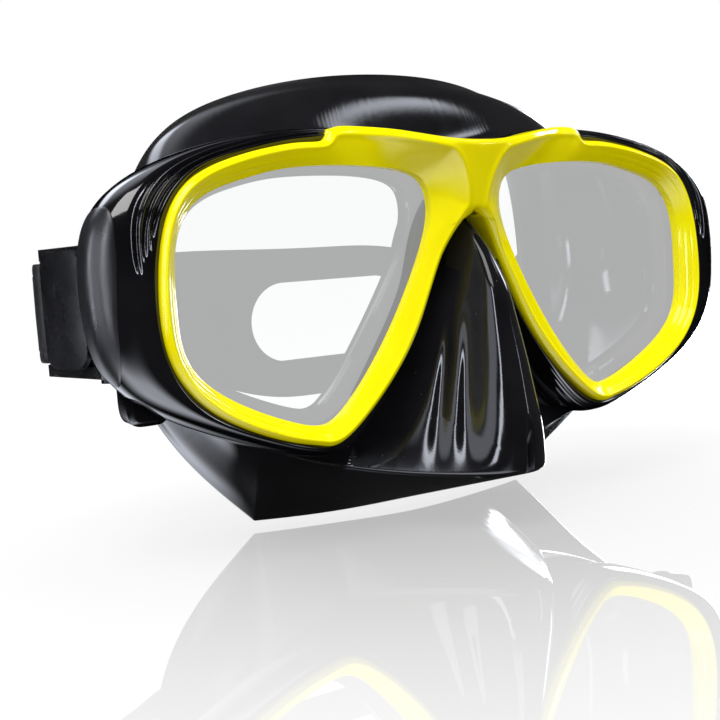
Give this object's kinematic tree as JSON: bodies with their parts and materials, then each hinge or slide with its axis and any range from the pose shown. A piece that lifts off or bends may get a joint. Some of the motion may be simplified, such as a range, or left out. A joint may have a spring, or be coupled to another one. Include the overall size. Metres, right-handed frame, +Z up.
{
  "type": "snorkel mask",
  "caption": "Two-lens low-volume diving mask with soft skirt and nose pocket, rigid frame, front bezel and a split strap on swivel quick-release buckles.",
  "frame": {"origin": "on the middle plane, level with the lens centres, in the plane of the two lens openings", "axes": "+Z up, the mask looks along -Y, the wearer's right hand is at -X"},
  "size_m": [0.1732, 0.0811, 0.1018],
  "materials": {
    "skirt_rubber": "smooth black silicone",
    "strap_rubber": "ribbed black silicone",
    "frame_plastic": "polished black",
    "cover_plastic": "satin black",
    "bezel_plastic": "polished yellow",
    "lens_glass": "clear tempered",
    "buckle_plastic": "black moulded",
    "lever_plastic": "satin dark grey-black",
    "pin_steel": "stainless"
  },
  "bodies": {
    "mask": {"skirt": "skirt_rubber", "main_frame": "frame_plastic", "front_bezel": "bezel_plastic", "lens_right": "lens_glass", "lens_left": "lens_glass", "side_cover_right": "cover_plastic", "side_cover_left": "cover_plastic", "hinge_pin_right": "pin_steel", "hinge_pin_left": "pin_steel", "strap_band": "strap_rubber"},
    "buckle_right": {"buckle_body_right": "buckle_plastic", "lever_pin_right": "pin_steel", "roller_pin_right": "pin_steel", "lever_spring_right": "pin_steel", "strap_end_right": "strap_rubber"},
    "lever_right": {"release_lever_right": "lever_plastic"},
    "roller_right": {"strap_roller_right": "buckle_plastic"},
    "keeper_right": {"strap_keeper_right": "strap_rubber"},
    "buckle_left": {"buckle_body_left": "buckle_plastic", "lever_pin_left": "pin_steel", "roller_pin_left": "pin_steel", "lever_spring_left": "pin_steel", "strap_end_left": "strap_rubber"},
    "lever_left": {"release_lever_left": "lever_plastic"},
    "roller_left": {"strap_roller_left": "buckle_plastic"},
    "keeper_left": {"strap_keeper_left": "strap_rubber"}
  },
  "joints": [
    {"name": "buckle_swivel_right", "type": "hinge", "parent": "mask", "child": "buckle_right", "pos_m": [-0.079, 0.0138, 0], "axis": [0, 0, 1], "range_deg": [-6, 24]},
    {"name": "lever_press_right", "type": "hinge", "parent": "buckle_right", "child": "lever_right", "pos_m": [-0.0805, 0.02, 0], "axis": [0, 0, 1], "range_deg": [0, 6]},
    {"name": "roller_turn_right", "type": "hinge", "parent": "buckle_right", "child": "roller_right", "pos_m": [-0.082, 0.0345, 0], "axis": [0, 0, 1], "continuous": true},
    {"name": "keeper_slide_right", "type": "slide", "parent": "buckle_right", "child": "keeper_right", "axis": [0.4226, 0.9063, 0], "range_m": [0, 0.004]},
    {"name": "buckle_swivel_left", "type": "hinge", "parent": "mask", "child": "buckle_left", "pos_m": [0.079, 0.0138, 0], "axis": [0, 0, -1], "range_deg": [-6, 24]},
    {"name": "lever_press_left", "type": "hinge", "parent": "buckle_left", "child": "lever_left", "pos_m": [0.0805, 0.02, 0], "axis": [0, 0, -1], "range_deg": [0, 6]},
    {"name": "roller_turn_left", "type": "hinge", "parent": "buckle_left", "child": "roller_left", "pos_m": [0.082, 0.0345, 0], "axis": [0, 0, 1], "continuous": true},
    {"name": "keeper_slide_left", "type": "slide", "parent": "buckle_left", "child": "keeper_left", "axis": [-0.4226, 0.9063, 0], "range_m": [0, 0.004]}
  ]
}
